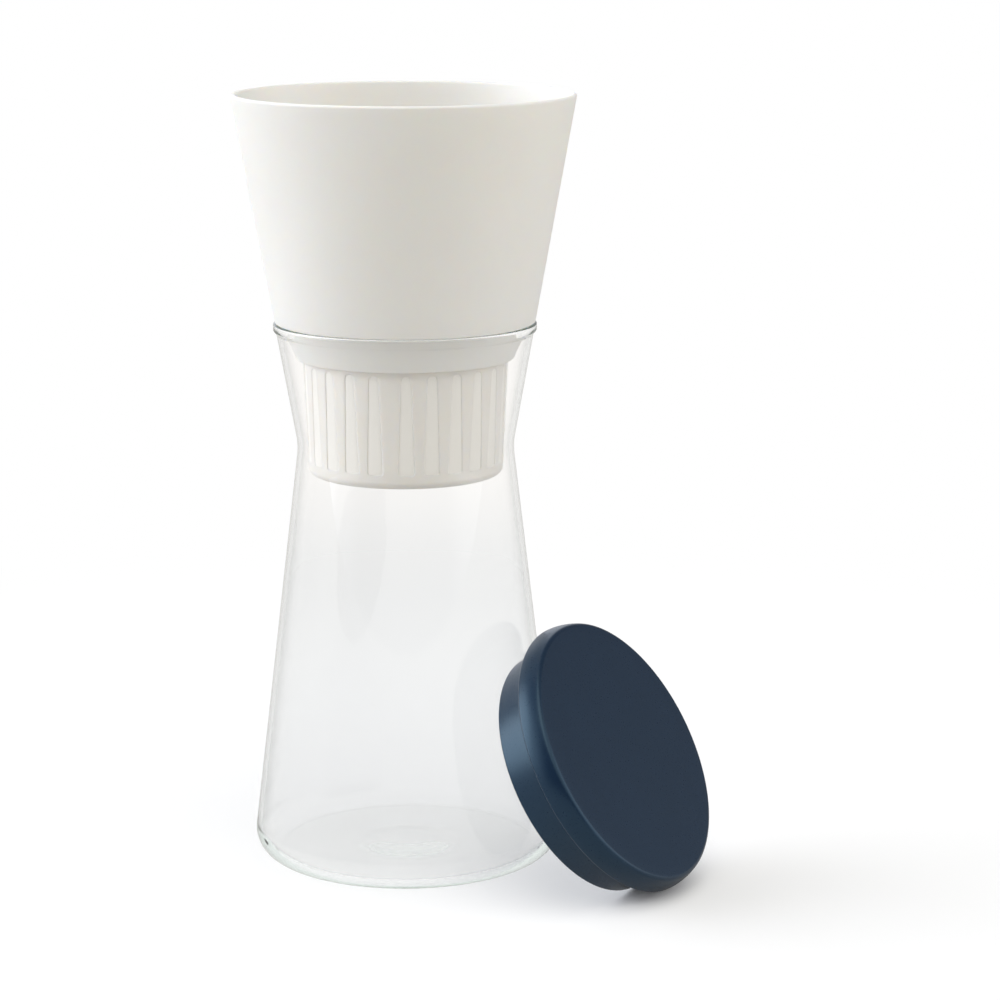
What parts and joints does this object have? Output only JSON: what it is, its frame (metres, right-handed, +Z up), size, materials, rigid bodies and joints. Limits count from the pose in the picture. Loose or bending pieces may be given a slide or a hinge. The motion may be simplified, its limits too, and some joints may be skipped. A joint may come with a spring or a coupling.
{
  "type": "nut milk maker",
  "caption": "Waisted glass carafe with a white funnel hopper in its mouth, a slotted fine-mesh filter basket hanging in the hopper, and a soft navy stopper lid leaning on the glass.",
  "frame": {"origin": "middle of the carafe's flat foot, on the table", "axes": "+Z up along the carafe's axis, +X towards the side where the lid leans"},
  "size_m": [0.172, 0.1204, 0.2738],
  "materials": {
    "glass": "clear, fire-polished rim",
    "white_plastic": "fine matte, warm white",
    "basket_plastic": "satin, off-white",
    "screen_cloth": "fine woven nylon mesh, cream",
    "navy_silicone": "matte silicone"
  },
  "bodies": {
    "carafe": {"carafe": "glass"},
    "hopper": {"hopper": "white_plastic"},
    "filter": {"filter_frame": "basket_plastic", "side_screen": "screen_cloth", "floor_screen": "screen_cloth"},
    "lid": {"lid": "navy_silicone"}
  },
  "joints": [
    {"name": "hopper_lift", "type": "slide", "parent": "carafe", "child": "hopper", "axis": [0, 0, 1], "range_m": [0, 0.07]},
    {"name": "filter_lift", "type": "slide", "parent": "hopper", "child": "filter", "axis": [0, 0, 1], "range_m": [0, 0.145]},
    {"name": "lid_slide", "type": "slide", "parent": "carafe", "child": "lid", "axis": [1, 0, 0], "range_m": [0, 0.12]}
  ]
}
